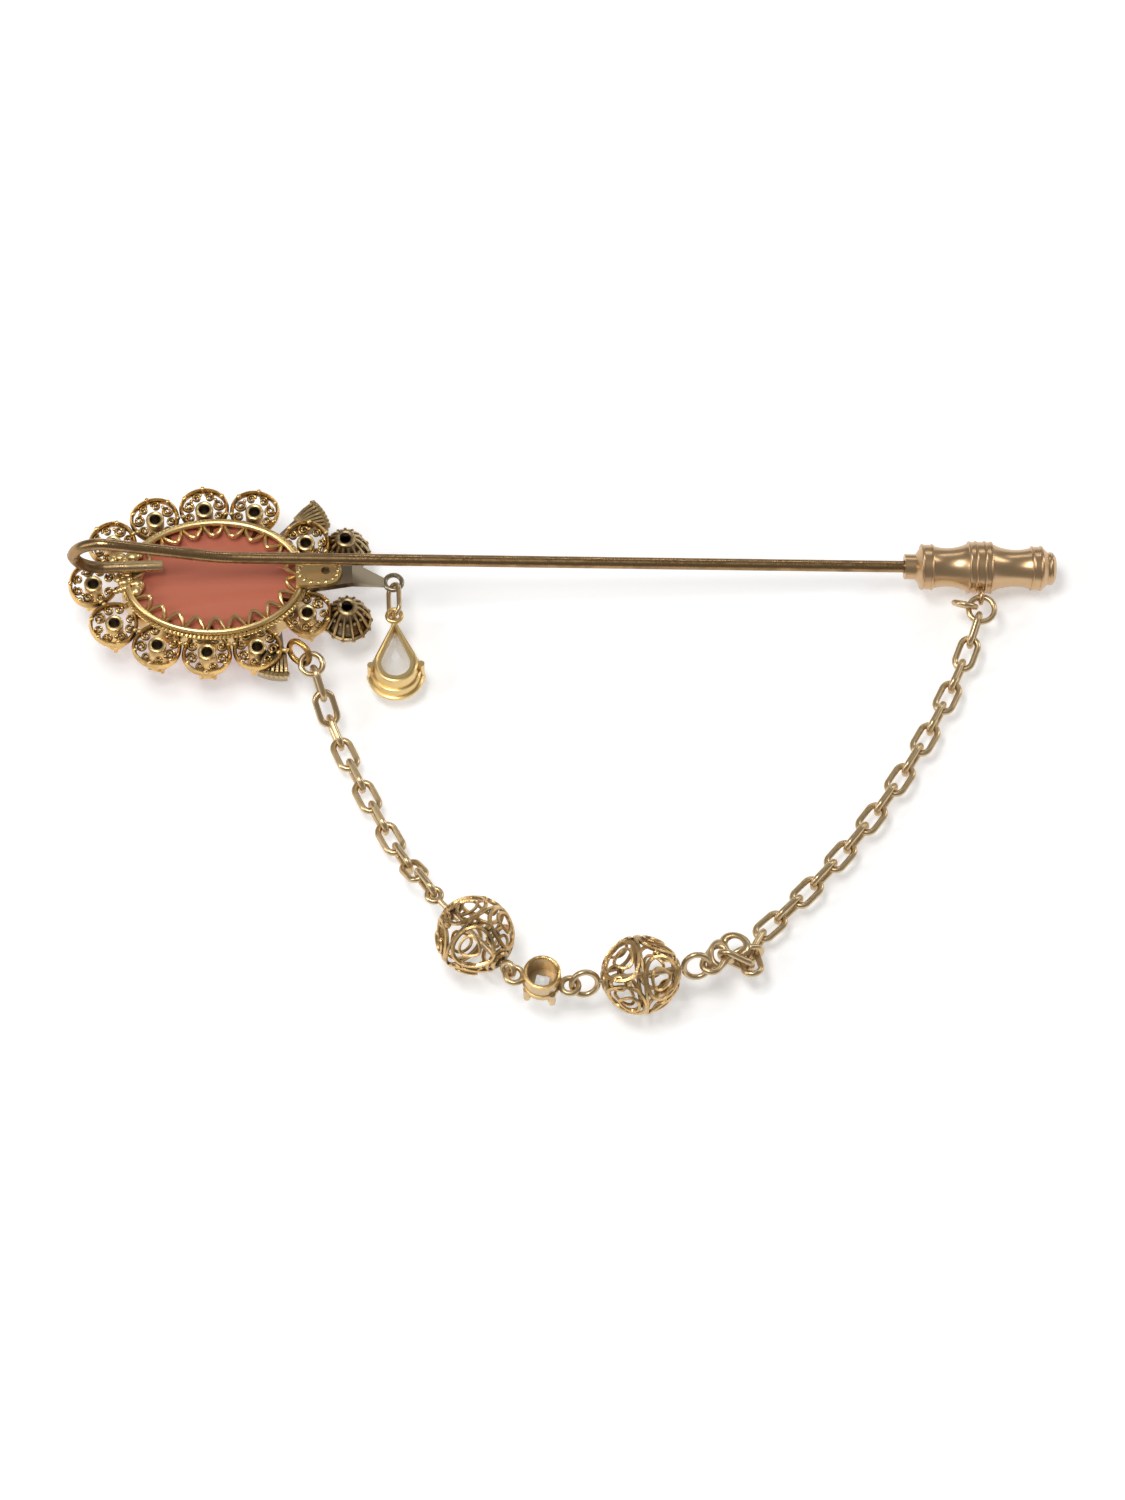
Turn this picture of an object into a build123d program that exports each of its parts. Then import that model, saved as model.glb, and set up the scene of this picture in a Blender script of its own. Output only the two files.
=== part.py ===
from build123d import *
import math
import os

# Jewelled pin lying face down. +X runs along the pin towards the cap, +Z is up.
# All places are worked out with the middle of the head at x = y = 0 and the surface at z = 0;
# ORIGIN is the middle of the base of the whole object there, and every exported solid is moved to it.

# --- driving dimensions, mm -------------------------------------------------------------------
STONE_LENGTH = 18.0          # oval cabochon, a stock size
STONE_WIDTH = 13.0
STONE_BACK_Z = 5.3           # height of the flat back
STONE_DOME = 5.3             # depth of the dome below the flat back
STONE_FIT = 0.04             # gap between stone and strip

STRIP_WALL = 0.4             # gallery strip round the stone
STRIP_BOTTOM_Z = 3.4
STRIP_LIP = 0.4              # thickness of the folded scalloped lip
SCALLOPS = 24
SCALLOP_TIP = 1.7            # how far a tip reaches in from the edge of the stone
SCALLOP_ROOT = 0.75
BEZEL_INSET = 0.25           # bezel wire centre line, in from the edge of the stone
BEZEL_WIRE = 0.6

PETAL_OUTER = 5.0            # outer width of a petal loop
PETAL_WIRE = 0.5
PETAL_REACH_X = 2.76         # from the strip to the petal centres, at the ends of the oval
PETAL_REACH_Y = 1.26         # and at its sides
PETAL_PITCH = 5.1            # distance from petal to petal
PETALS_EACH_SIDE = 4         # besides the one at the end and the last pair
LAST_PETAL = (9.2, 4.0, 25.0)   # place and outward heading of the last petal of a side
PETAL_Z = 5.2                # centre of the loop wire
SCROLL_ANGLES = (50, -50, 104, -104)   # small wire rings that carry a chaton

CHATON_TUBE = 1.8            # outer width of the tube at the back
CHATON_HOLE = 1.2
CHATON_RIM = 2.3             # outer width at the front
CHATON_BACK_Z = 5.4
CHATON_FRONT_Z = 1.9
CRYSTAL_WIDTH = 1.7
CRYSTAL_FRONT_Z = 1.3
PRONG = 0.4

ROSETTE_X = 13.2
ROSETTE_Y = 3.9
ROSETTE_RIM = 4.5
ROSETTE_BACK = 2.0
ROSETTE_HOLE = 1.0
ROSETTE_BACK_Z = 6.2
ROSETTE_FRONT_Z = 3.0
ROSETTE_CRYSTAL = 2.6

SHELL_LENGTH = 5.0
SHELL_ANGLE = 36.0
SHELL_THICKNESS = 1.3
SHELL_Z = 3.3
SHELL_APEX = (6.6, 5.6)
SHELL_HEADINGS = (28.0, -103.0)

ARM_START_X = 9.2            # the arm is soldered on the strip here
ARM_WIDTH = 3.6
ARM_TIP_WIDTH = 0.9
ARM_THICKNESS = 0.85
ARM_DROP = 2.2               # how much lower the tip is
ARM_RING_X = 17.9
ARM_RING = 2.2
ARM_RING_WIRE = 0.5

PLATE_LENGTH = 4.6
PLATE_WIDTH = 3.2
PLATE_THICKNESS = 0.5
PLATE_HOLE = 0.9

PIN_WIRE = 1.2               # the pin itself
PIN_Y = 0.4                  # the shaft runs a little above the middle of the head
PIN_SLOPE = 5.0              # degrees, down towards the cap
PIN_LEG_Y = 1.0              # soldered straight leg
PIN_LEG_END_X = -5.15
PIN_HOOK_X = -10.9
PIN_HOOK_RADIUS = 3.1
PIN_DIP_X = 0.6              # where the bent wire meets the line of the shaft
PIN_TIP = 3.0                # length of the pointed end
PIN_GRIP = 6.5               # length of the shaft inside the cap

CAP_MOUTH_X = 69.3
CAP_AXIS_Z = 2.7             # height of the shaft at the cap's middle band
CAP_LENGTH = 15.3
CAP_BAND = 5.16              # widths of the turned profile
CAP_MOUTH_RING = 4.5
CAP_END_RING = 4.36
CAP_WAIST_1 = 3.9
CAP_WAIST_2 = 3.7
CAP_NOSE = 2.56
CAP_BUTTON = 3.26
CAP_BORE_DEPTH = 12.7
LINER_WALL = 0.5
LINER_LENGTH = 9.0
LINER_FIT = 0.03             # running gap round the wire
CAP_EYE = 1.8
CAP_EYE_WIRE = 0.45
SPARE_RING_HEADING = 165.0
SPARE_RING_ROLL = 65.0
CAP_EYE_X = 7.6              # from the mouth, in the middle of the band

LINK_LENGTH = 4.0            # chain link, outside
LINK_WIDTH = 2.4
LINK_WIRE = 0.65
LINK_GAP = 0.07              # play between two linked wires
LEFT_LINKS = 11
RIGHT_LINKS = 16
JUMP_RING = 3.2
SPARE_RING = 2.8
JUMP_WIRE = 0.6
HEAD_EYE_X = 8.3
HEAD_EYE_Y = -8.4
HEAD_EYE_LENGTH = 3.2
HEAD_EYE_WIDTH = 2.8
HEAD_EYE_HEADING = -45.0
HEAD_EYE_ROLL = 65.0
CHAIN_RING = 2.8

BEAD = 8.0                   # filigree bead
BEAD_WALL = 0.6
BEAD_HOLE = 1.0
BEAD_SMALL_EYE = 2.0
BEAD_LARGE_EYE = 3.2
BEAD_WIRE = 0.6
BEAD_NECK = 1.0              # straight wire between bead 1 and its first eye
CONNECTOR_CUP = 3.6
CONNECTOR_WALL = 0.35
CONNECTOR_DEPTH = 3.6
CONNECTOR_LOOP = 2.3
CONNECTOR_STONE = 3.6

BAIL_LENGTH = 3.9
BAIL_WIDTH = 2.1
BAIL_WIRE = 0.5
BAIL_ROLL = 50.0
DROP_EYE = 1.9
DROP_EYE_WIRE = 0.5
DROP_LENGTH = 8.0            # pear stone with its setting wall, outside
DROP_WIDTH = 5.2
DROP_BACK_LENGTH = 6.7
DROP_BACK_WIDTH = 4.0
DROP_DEPTH = 2.6
DROP_WALL = 0.55
DROP_PRONG = 0.7


# --- small helpers ----------------------------------------------------------------------------
def direction(heading, pitch=0.0):
    """Unit vector with a heading in the XY plane and a pitch above it, in degrees."""
    h, p = math.radians(heading), math.radians(pitch)
    return Vector(math.cos(h) * math.cos(p), math.sin(h) * math.cos(p), math.sin(p))


def solid_ellipse(length, width, bottom, height):
    return Pos(0, 0, bottom) * extrude(Ellipse(length / 2, width / 2), height)


def oval_link(length, width, wire):
    """A closed wire link in the XY plane, its long side along X."""
    side, arc = (length - width) / 2, (width - wire) / 2
    if side < 0.01:
        return Torus(arc, wire / 2)
    path = Wire([
        Line((-side, arc), (side, arc)),
        ThreePointArc((side, arc), (side + arc, 0), (side, -arc)),
        Line((side, -arc), (-side, -arc)),
        ThreePointArc((-side, -arc), (-side - arc, 0), (-side, arc)),
    ])
    return sweep(Plane(origin=(-side, arc, 0), z_dir=(1, 0, 0)) * Circle(wire / 2), path=path)


def group(shapes):
    """Separate solids that share one node."""
    return Compound(children=[s for shape in shapes for s in shape.solids()])


# --- head: stone and gallery strip ------------------------------------------------------------
def cabochon():
    dome = scale(Sphere(1.0), by=(STONE_LENGTH / 2, STONE_WIDTH / 2, STONE_DOME))
    below = Pos(0, 0, -STONE_DOME / 2) * Box(STONE_LENGTH + 2, STONE_WIDTH + 2, STONE_DOME)
    return Pos(0, 0, STONE_BACK_Z) * (dome & below)


def strip_outline():
    grow = 2 * (STONE_FIT + STRIP_WALL)
    return STONE_LENGTH + grow, STONE_WIDTH + grow


def scalloped_hole():
    """Wavy outline of the opening inside the folded lip."""
    points = []
    for step in range(2 * SCALLOPS):
        angle = math.pi * step / SCALLOPS
        inset = SCALLOP_TIP if step % 2 else SCALLOP_ROOT
        rx, ry = STONE_LENGTH / 2 - inset, STONE_WIDTH / 2 - inset
        points.append((rx * math.cos(angle), ry * math.sin(angle)))
    return make_face(Spline(*points, periodic=True))


def gallery_strip():
    length, width = strip_outline()
    lip_z = STONE_BACK_Z + STONE_FIT
    wall = solid_ellipse(length, width, STRIP_BOTTOM_Z, lip_z - STRIP_BOTTOM_Z)
    hollow = 2 * STONE_FIT
    wall -= solid_ellipse(STONE_LENGTH + hollow, STONE_WIDTH + hollow, STRIP_BOTTOM_Z, lip_z)
    lip = solid_ellipse(length, width, lip_z, STRIP_LIP)
    lip -= Pos(0, 0, lip_z) * extrude(scalloped_hole(), STRIP_LIP)
    return wall + lip


def bezel_z():
    return STONE_BACK_Z + STONE_FIT + STRIP_LIP + BEZEL_WIRE / 2


def bezel_wire():
    rx, ry = STONE_LENGTH / 2 - BEZEL_INSET, STONE_WIDTH / 2 - BEZEL_INSET
    path = Wire([Edge.make_ellipse(rx, ry)])
    ring = sweep(Plane(origin=(rx, 0, 0), z_dir=(0, 1, 0)) * Circle(BEZEL_WIRE / 2), path=path)
    return Pos(0, 0, bezel_z()) * ring


# --- head: petals -----------------------------------------------------------------------------
def petal_places():
    """Petal centres on an oval round the strip, from the -X end, with their outward headings."""
    length, width = strip_outline()
    rx, ry = length / 2 + PETAL_REACH_X, width / 2 + PETAL_REACH_Y
    places = [(-rx, 0.0, 180.0)]
    angle = math.pi
    for _ in range(PETALS_EACH_SIDE):
        speed = math.hypot(rx * math.sin(angle), ry * math.cos(angle))
        middle = angle - PETAL_PITCH / speed / 2
        speed = math.hypot(rx * math.sin(middle), ry * math.cos(middle))
        angle -= PETAL_PITCH / speed
        x, y = rx * math.cos(angle), ry * math.sin(angle)
        outward = math.degrees(math.atan2(y / ry ** 2, x / rx ** 2))
        places += [(x, y, outward), (x, -y, -outward)]
    x, y, outward = LAST_PETAL
    return places + [(x, y, outward), (x, -y, -outward)]


def at_petals(shape):
    return group([Pos(x, y, 0) * Rot(0, 0, outward) * shape for x, y, outward in petal_places()])


def petal_frames():
    """Wire loops, each with a solder tab that reaches the gallery strip."""
    arc = (PETAL_OUTER - PETAL_WIRE) / 2
    loop = Torus(arc, PETAL_WIRE / 2)
    tab = Pos(-(arc + PETAL_REACH_X) / 2, 0, 0) * Box(PETAL_REACH_X - arc + PETAL_WIRE,
                                                      3 * PETAL_WIRE, 0.8 * PETAL_WIRE)
    length, width = strip_outline()
    strip = solid_ellipse(length, width, 0, 2 * PETAL_Z)
    petals = []
    for x, y, outward in petal_places():
        petals.append(Pos(x, y, PETAL_Z) * Rot(0, 0, outward) * (loop + tab) - strip)
    return group(petals)


def petal_scrolls():
    """Small rings that fill the space between a chaton tube and the petal loop."""
    outer = PETAL_OUTER / 2 - PETAL_WIRE - CHATON_TUBE / 2
    wire = outer / 3
    ring = Torus((outer - wire) / 2, wire / 2)
    middle = (CHATON_TUBE + outer) / 2
    rings = [Rot(0, 0, angle) * Pos(middle, 0, 0) * ring for angle in SCROLL_ANGLES]
    return at_petals(Pos(0, 0, PETAL_Z) * group(rings))


def chaton_cups():
    flare = 1.0
    height = CHATON_BACK_Z - CHATON_FRONT_Z - flare
    tube = Pos(0, 0, CHATON_BACK_Z - height / 2) * Cylinder(CHATON_TUBE / 2, height)
    cone = Pos(0, 0, CHATON_FRONT_Z + flare / 2) * Cone(CHATON_RIM / 2, CHATON_TUBE / 2, flare)
    cup = tube + cone
    reach = (CHATON_RIM - PRONG) / 2
    length = CHATON_FRONT_Z + flare - CRYSTAL_FRONT_Z
    for i in range(4):
        place = Rot(0, 0, 45 + 90 * i) * Pos(reach, 0, CRYSTAL_FRONT_Z + length / 2)
        cup += place * Cylinder(PRONG / 2, length)
    cup -= Pos(0, 0, CHATON_BACK_Z - height / 2) * Cylinder(CHATON_HOLE / 2, 3 * height)
    return at_petals(cup - crystal())


def crystal():
    """Round stone: a crown towards the front and a short cone in the cup."""
    crown = 0.5
    pavilion = 0.8
    girdle_z = CRYSTAL_FRONT_Z + crown
    top = Pos(0, 0, CRYSTAL_FRONT_Z + crown / 2) * Cone(CRYSTAL_WIDTH / 3, CRYSTAL_WIDTH / 2, crown)
    return top + Pos(0, 0, girdle_z + pavilion / 2) * Cone(CRYSTAL_WIDTH / 2, CHATON_HOLE / 4, pavilion)


def chaton_crystals():
    return at_petals(crystal())


# --- head: rosettes, shells, arm and plate -----------------------------------------------------
def at_rosettes(shape):
    return group([Pos(ROSETTE_X, side * ROSETTE_Y, 0) * shape for side in (1, -1)])


def rosette_stone():
    depth = 0.9
    return Pos(0, 0, ROSETTE_FRONT_Z + depth / 2) * Cone(ROSETTE_CRYSTAL / 2, ROSETTE_CRYSTAL / 4, depth)


def rosette_cups():
    height = ROSETTE_BACK_Z - ROSETTE_FRONT_Z
    wall = 0.45
    cup = Cone(ROSETTE_RIM / 2, ROSETTE_BACK / 2, height)
    cup -= Cone(ROSETTE_RIM / 2 - wall, ROSETTE_BACK / 2 - wall, height)
    ring_wire = (ROSETTE_BACK - ROSETTE_HOLE) / 4
    cup = Pos(0, 0, ROSETTE_FRONT_Z + height / 2) * cup
    cup += Pos(0, 0, ROSETTE_BACK_Z) * Torus(ROSETTE_BACK / 2 - ring_wire, ring_wire)
    seat = Pos(0, 0, ROSETTE_FRONT_Z + wall) * Cylinder(ROSETTE_RIM / 2 - wall, wall)
    return at_rosettes(cup + seat - rosette_stone()) - arm_bar()


def shell_cups():
    """Two fan-shaped cups that stand out between the last petals."""
    half = SHELL_ANGLE / 2
    tip = SHELL_LENGTH
    outline = make_face([
        Line((0, 0), tuple(direction(half) * tip)[:2]),
        ThreePointArc(tuple(direction(half) * tip)[:2], (tip, 0), tuple(direction(-half) * tip)[:2]),
        Line(tuple(direction(-half) * tip)[:2], (0, 0)),
    ])
    fan = extrude(outline, SHELL_THICKNESS)
    x, y = SHELL_APEX
    length, width = strip_outline()
    strip = solid_ellipse(length, width, 0, 2 * PETAL_Z)
    fans = []
    for side, heading in zip((1, -1), SHELL_HEADINGS):
        fans.append(Pos(x, side * y, SHELL_Z) * Rot(0, 0, heading) * fan - strip)
    return group(fans)


def arm_tip_x():
    return ARM_RING_X - (ARM_RING - ARM_RING_WIRE) / 2


def arm_top_z():
    """The arm is level with the top of the bezel wire."""
    return bezel_z() + BEZEL_WIRE / 2


def arm_bar():
    """Tapered arm that slopes down from the strip to its ring."""
    start, tip, bend = ARM_START_X, arm_tip_x(), ARM_START_X + PLATE_LENGTH
    top, low = arm_top_z(), arm_top_z() - ARM_THICKNESS
    end_top, end_low = arm_ring_z() + ARM_RING_WIRE / 3, arm_ring_z() - ARM_RING_WIRE / 3
    side = Polygon((start, low), (bend, low), (tip, end_low), (tip, end_top), (bend, top),
                   (start, top), align=None)
    plan = Polygon((start, -ARM_WIDTH / 2), (bend, -ARM_WIDTH / 3), (tip, -ARM_TIP_WIDTH / 2),
                   (tip, ARM_TIP_WIDTH / 2), (bend, ARM_WIDTH / 3), (start, ARM_WIDTH / 2),
                   align=None)
    bar = Pos(0, ARM_WIDTH, 0) * Rot(90, 0, 0) * extrude(side, 2 * ARM_WIDTH)
    return bar & extrude(plan, 2 * arm_top_z())


def arm_ring_z():
    return arm_top_z() - ARM_DROP - ARM_RING_WIRE / 2


def pendant_arm():
    length, width = strip_outline()
    bar = arm_bar() - solid_ellipse(length, width, 0, STONE_BACK_Z + STONE_FIT + STRIP_LIP)
    bar -= bezel_wire()
    ring = Pos(ARM_RING_X, 0, arm_ring_z()) * Torus((ARM_RING - ARM_RING_WIRE) / 2, ARM_RING_WIRE / 2)
    hole = Pos(ARM_RING_X, 0, arm_ring_z()) * Cylinder(ARM_RING / 2 - ARM_RING_WIRE, 2)
    return bar - hole + ring


def solder_plate():
    """Flat plate with a hole, soldered on the bezel wire and the arm."""
    plate = Box(PLATE_LENGTH, PLATE_WIDTH, PLATE_THICKNESS)
    plate = fillet(plate.edges().filter_by(Axis.Z).group_by(Axis.X)[-1], PLATE_WIDTH / 2 - 0.05)
    plate -= Pos(PLATE_LENGTH / 2 - PLATE_WIDTH / 2, 0, 0) * Cylinder(PLATE_HOLE / 2, 2)
    start = STONE_LENGTH / 2 - BEZEL_INSET - BEZEL_WIRE
    return Pos(start + PLATE_LENGTH / 2, 0, arm_top_z() + PLATE_THICKNESS / 2) * plate


# --- pin wire ---------------------------------------------------------------------------------
def cap_place():
    """Frame at the cap's mouth, its Z along the shaft towards the end of the cap."""
    rise = CAP_EYE_X * math.sin(math.radians(PIN_SLOPE))
    mouth = Vector(CAP_MOUTH_X, PIN_Y, CAP_AXIS_Z + rise)
    return Plane(origin=mouth, x_dir=(0, -1, 0), z_dir=direction(0, -PIN_SLOPE))


def shaft_z(x):
    """Height of the shaft's centre line."""
    mouth = cap_place().origin
    return mouth.Z + (mouth.X - x) * math.tan(math.radians(PIN_SLOPE))


def pin_leg_z():
    return bezel_z() + (BEZEL_WIRE + PIN_WIRE) / 2


def pin_wire():
    """Soldered leg, hook, dip and shaft in one round wire, with a pointed tip."""
    leg_z, hook = pin_leg_z(), PIN_HOOK_RADIUS
    end = cap_place().origin + direction(0, -PIN_SLOPE) * (PIN_GRIP - PIN_TIP)
    points = [
        (PIN_LEG_END_X, PIN_LEG_Y, leg_z),
        (PIN_HOOK_X - hook, PIN_LEG_Y, leg_z),
        (PIN_HOOK_X - hook, (PIN_LEG_Y + PIN_Y) / 2, leg_z + 2 * hook),
        (PIN_HOOK_X + hook / 2, PIN_Y, leg_z + 2 * hook - hook / 4),
        (PIN_DIP_X, PIN_Y, shaft_z(PIN_DIP_X)),
        tuple(end),
    ]
    bends = [hook * 0.98, hook * 0.98, 2 * hook, 6 * hook]
    path = FilletPolyline(*points, radius=bends)
    wire = sweep(Plane(origin=path @ 0, z_dir=path % 0) * Circle(PIN_WIRE / 2), path=path)
    tip = Plane(origin=end, z_dir=direction(0, -PIN_SLOPE))
    return wire + tip * Pos(0, 0, PIN_TIP / 2) * Cone(PIN_WIRE / 2, 0.1, PIN_TIP)


# --- cap --------------------------------------------------------------------------------------
def turned_profile():
    """Half outline of the bamboo-shaped cap, from its mouth to its end button."""
    mid, ring = CAP_EYE_X, 0.45
    end = CAP_LENGTH
    points = [
        (CAP_NOSE / 2, 0), (CAP_NOSE / 2, 1.1), (CAP_MOUTH_RING / 2 - 0.25, 1.6),
        (CAP_MOUTH_RING / 2, 1.9), (CAP_MOUTH_RING / 2, 2.6),
    ]
    first = ThreePointArc(points[-1], (CAP_WAIST_1 / 2, 4.6), (CAP_BAND / 2, mid - 2.2 * ring))
    second_start = (CAP_BAND / 2, mid + 2.2 * ring)
    second_end = (CAP_END_RING / 2, end - 2.2)
    second = ThreePointArc(second_start, (CAP_WAIST_2 / 2, end - 3.8), second_end)
    tail = [
        second_end, (CAP_END_RING / 2, end - 1.4), (CAP_BUTTON / 2, end - 0.8),
        (CAP_BUTTON / 2, end - 0.3), (CAP_BUTTON / 2 - 0.4, end), (0, end),
    ]
    return make_face([
        Polyline((0, 0), *points), first, Line(first @ 1, second_start), second,
        Polyline(*tail), Line((0, end), (0, 0)),
    ])


def cap_body():
    turned = revolve(Plane.XZ * turned_profile(), Axis.Z)
    liner = PIN_WIRE / 2 + LINER_FIT + LINER_WALL
    bore = Cylinder(liner, CAP_BORE_DEPTH - 1.0, align=(Align.CENTER, Align.CENTER, Align.MIN))
    turned -= Pos(0, 0, 1.0) * bore
    turned -= Cylinder(PIN_WIRE / 2 + 4 * LINER_FIT, 4.0)
    return cap_place() * turned


def cap_liner():
    inner = PIN_WIRE / 2 + LINER_FIT
    sleeve = Cylinder(inner + LINER_WALL, LINER_LENGTH) - Cylinder(inner, LINER_LENGTH)
    return cap_place() * Pos(0, 0, 1.0 + LINER_LENGTH / 2) * sleeve


def cap_eye_centre():
    reach = CAP_BAND / 2 + CAP_EYE / 2 - 0.15
    return Vector(*cap_place().from_local_coords((reach, 0, CAP_EYE_X)))


def cap_eye():
    """Upright wire ring soldered on the middle band."""
    shaft = Plane(origin=cap_eye_centre(), x_dir=(0, -1, 0), z_dir=direction(0, -PIN_SLOPE))
    eye = shaft * Torus((CAP_EYE - CAP_EYE_WIRE) / 2, CAP_EYE_WIRE / 2)
    band = Cylinder(CAP_BAND / 2, CAP_LENGTH, align=(Align.CENTER, Align.CENTER, Align.MIN))
    return eye - cap_place() * band


# --- chain: one item hooks into the next ------------------------------------------------------
class Item:
    """A piece of chain: two wire ends a straight distance apart, each flat or upright."""

    def __init__(self, name, straight, arcs, wire, upright, heading, make, pitch=0.0):
        self.name = name
        self.straight = straight
        self.arcs = arcs
        self.wire = wire
        self.upright = upright
        self.heading = heading
        self.pitch = pitch
        self.make = make
        self.start = None
        self.end = None

    def reach(self, other):
        """Distance between the arc centres of two hooked ends."""
        return self.arcs[1] + other.arcs[0] - (self.wire + other.wire) / 2 - LINK_GAP

    def place(self):
        middle = (self.start + self.end) * 0.5
        along = direction(self.heading, self.pitch)
        across = direction(self.heading + 90)
        return Plane(origin=middle, x_dir=along, z_dir=along.cross(across))

    def shape(self):
        return self.place() * self.make()


def hook(previous, item):
    """Put an item's first arc centre where it hangs in the previous item's last end."""
    upright, flat = (item, previous) if item.upright[0] else (previous, item)
    item.start = previous.end + direction(upright.heading, flat.pitch) * previous.reach(item)
    item.end = item.start + direction(item.heading, item.pitch) * item.straight


def lay(items):
    for previous, item in zip(items, items[1:]):
        hook(previous, item)


def link_shape(upright):
    return lambda: Rot(90 if upright else 0, 0, 0) * oval_link(LINK_LENGTH, LINK_WIDTH, LINK_WIRE)


def link(name, upright, heading):
    arc = (LINK_WIDTH - LINK_WIRE) / 2
    return Item(name, LINK_LENGTH - LINK_WIDTH, (arc, arc), LINK_WIRE, (upright, upright),
                heading, link_shape(upright))


def ring(name, upright, heading, width=JUMP_RING, wire=JUMP_WIRE, roll=90.0):
    arc = (width - wire) / 2
    turn = roll if upright else 0.0
    return Item(name, 0.0, (arc, arc), wire, (upright, upright), heading,
                lambda: Rot(turn, 0, 0) * Torus(arc, wire / 2))


def head_eye():
    arc = (HEAD_EYE_WIDTH - JUMP_WIRE) / 2
    item = Item("head_eye", HEAD_EYE_LENGTH - HEAD_EYE_WIDTH, (arc, arc), JUMP_WIRE,
                (True, True), HEAD_EYE_HEADING,
                lambda: Rot(HEAD_EYE_ROLL, 0, 0) * oval_link(HEAD_EYE_LENGTH, HEAD_EYE_WIDTH, JUMP_WIRE))
    half = direction(HEAD_EYE_HEADING) * (item.straight / 2)
    centre = Vector(HEAD_EYE_X, HEAD_EYE_Y, PETAL_Z)
    item.start, item.end = centre - half, centre + half
    return item


def cap_eye_item():
    """The cap's upright eye, as the far end of the chain."""
    item = ring("cap_eye", True, 90.0, CAP_EYE, CAP_EYE_WIRE)
    item.start = cap_eye_centre()
    item.end = item.start
    return item


def spare_ring(outer):
    """Second jump ring, which hangs aslant in the first."""
    item = ring("cap_ring_spare", True, SPARE_RING_HEADING, SPARE_RING, roll=SPARE_RING_ROLL)
    hook(outer, item)
    return item


def bead_item(name, eye, neck, upright, heading):
    arc = (eye - BEAD_WIRE) / 2
    return Item(name, BEAD + eye + neck, (arc, arc), BEAD_WIRE, upright, heading, None)


def connector_item(heading):
    arc = (CONNECTOR_LOOP - JUMP_WIRE) / 2
    straight = CONNECTOR_CUP + CONNECTOR_LOOP - 0.3
    return Item("connector", straight, (arc, arc), JUMP_WIRE, (False, False), heading, None)


def left_run():
    items = [ring("chain_ring", False, -66.0, CHAIN_RING)]
    for i in range(LEFT_LINKS):
        heading = -66.0 + 10.0 * i / (LEFT_LINKS - 1)
        items.append(link(f"left_link_{i + 1:02d}", i % 2 == 0, heading))
    return items


def middle_run():
    small, large = BEAD_SMALL_EYE, BEAD_LARGE_EYE
    items = [
        bead_item("bead_1", small, BEAD_NECK, (False, True), -50.0),
        connector_item(-14.0),
        bead_item("bead_2", large, 0.0, (True, True), 8.0),
    ]
    turns = ((False, 60.0), (True, -20.0), (False, 100.0), (True, 62.0))
    for i, (upright, heading) in enumerate(turns):
        items.append(link(f"knot_{i + 1}", upright, heading))
    return items


def right_run():
    items = []
    for i in range(RIGHT_LINKS):
        heading = 45.0 + 27.0 * i / (RIGHT_LINKS - 1)
        items.append(link(f"right_link_{i + 1:02d}", i % 2 == 1, heading))
    return items + [ring("cap_ring", False, 90.0)]


def smooth(share):
    share = min(max(share, 0.0), 1.0)
    return share * share * (3 - 2 * share)


def slope(items, down, up, ramp):
    """Give each item the pitch of a ramp down from its start and a ramp up to its end."""
    lengths = [item.straight + 2 * item.arcs[0] for item in items]
    total, s = sum(lengths), 0.0
    for item, length in zip(items, lengths):
        heights = [down * (1 - smooth(p / ramp[0])) + up * smooth(1 - (total - p) / ramp[1])
                   for p in (s, s + length)]
        item.pitch = math.degrees(math.asin((heights[1] - heights[0]) / length))
        s += length


def level(first, items, last, low, ramp):
    """Lay a run from first to last so that its middle lies at the height low."""
    down, up = first.end.Z - low, last.start.Z - low
    for _ in range(6):
        slope(items, down, up, ramp)
        chain = [first] + items + [last]
        keep = last.start, last.end
        lay(chain)
        middle = items[len(items) // 2].start.Z
        reached = last.start.Z
        last.start, last.end = keep
        down += middle - low
        up += (keep[0].Z - reached) + (middle - low)
    return items


def turn(items, angle):
    for item in items:
        item.heading += angle


def flat_vector(a, b):
    return Vector(b.X - a.X, b.Y - a.Y, 0)


def heading_of(vector):
    return math.degrees(math.atan2(vector.Y, vector.X))


def corner(side, base, opposite):
    """Angle between side and base in a triangle."""
    share = (side ** 2 + base ** 2 - opposite ** 2) / (2 * side * base)
    return math.degrees(math.acos(share))


def whole_chain():
    """Head eye, left run, beads and connector, knot, right run, cap ring and cap eye."""
    first, last = head_eye(), cap_eye_item()
    left, middle, right = left_run(), middle_run(), right_run()
    low = LINK_WIDTH / 2
    beads, knot = middle[:3], middle[3:]
    beads[0].start = Vector(0, 0, BEAD / 2)
    beads[0].end = beads[0].start + direction(beads[0].heading) * beads[0].straight
    level(first, left, beads[0], low, (12.0, 10.0))
    lay(beads)
    level(beads[-1], knot + right, last, low, (14.0, 9.0))
    goal = last.start, last.end
    for _ in range(2):
        lay([first] + left + middle + right + [last])
        a = flat_vector(first.end, beads[0].start)
        b = flat_vector(knot[-1].end, last.start)
        fixed = flat_vector(beads[0].start, knot[-1].end)
        last.start, last.end = goal
        base = flat_vector(first.end, goal[0]) - fixed
        below = heading_of(base)
        turn(left, below - corner(a.length, base.length, b.length) - heading_of(a))
        turn(right, below + corner(b.length, base.length, a.length) - heading_of(b))
    lay([first] + left + middle + right + [last])
    return [first] + left + middle + right + [last]


# --- chain: beads and connector ---------------------------------------------------------------
def bead_offset(item):
    """How far the bead sits past the middle of its wire."""
    return (item.straight - BEAD - 2 * item.arcs[0] - BEAD_WIRE) / 2


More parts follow.
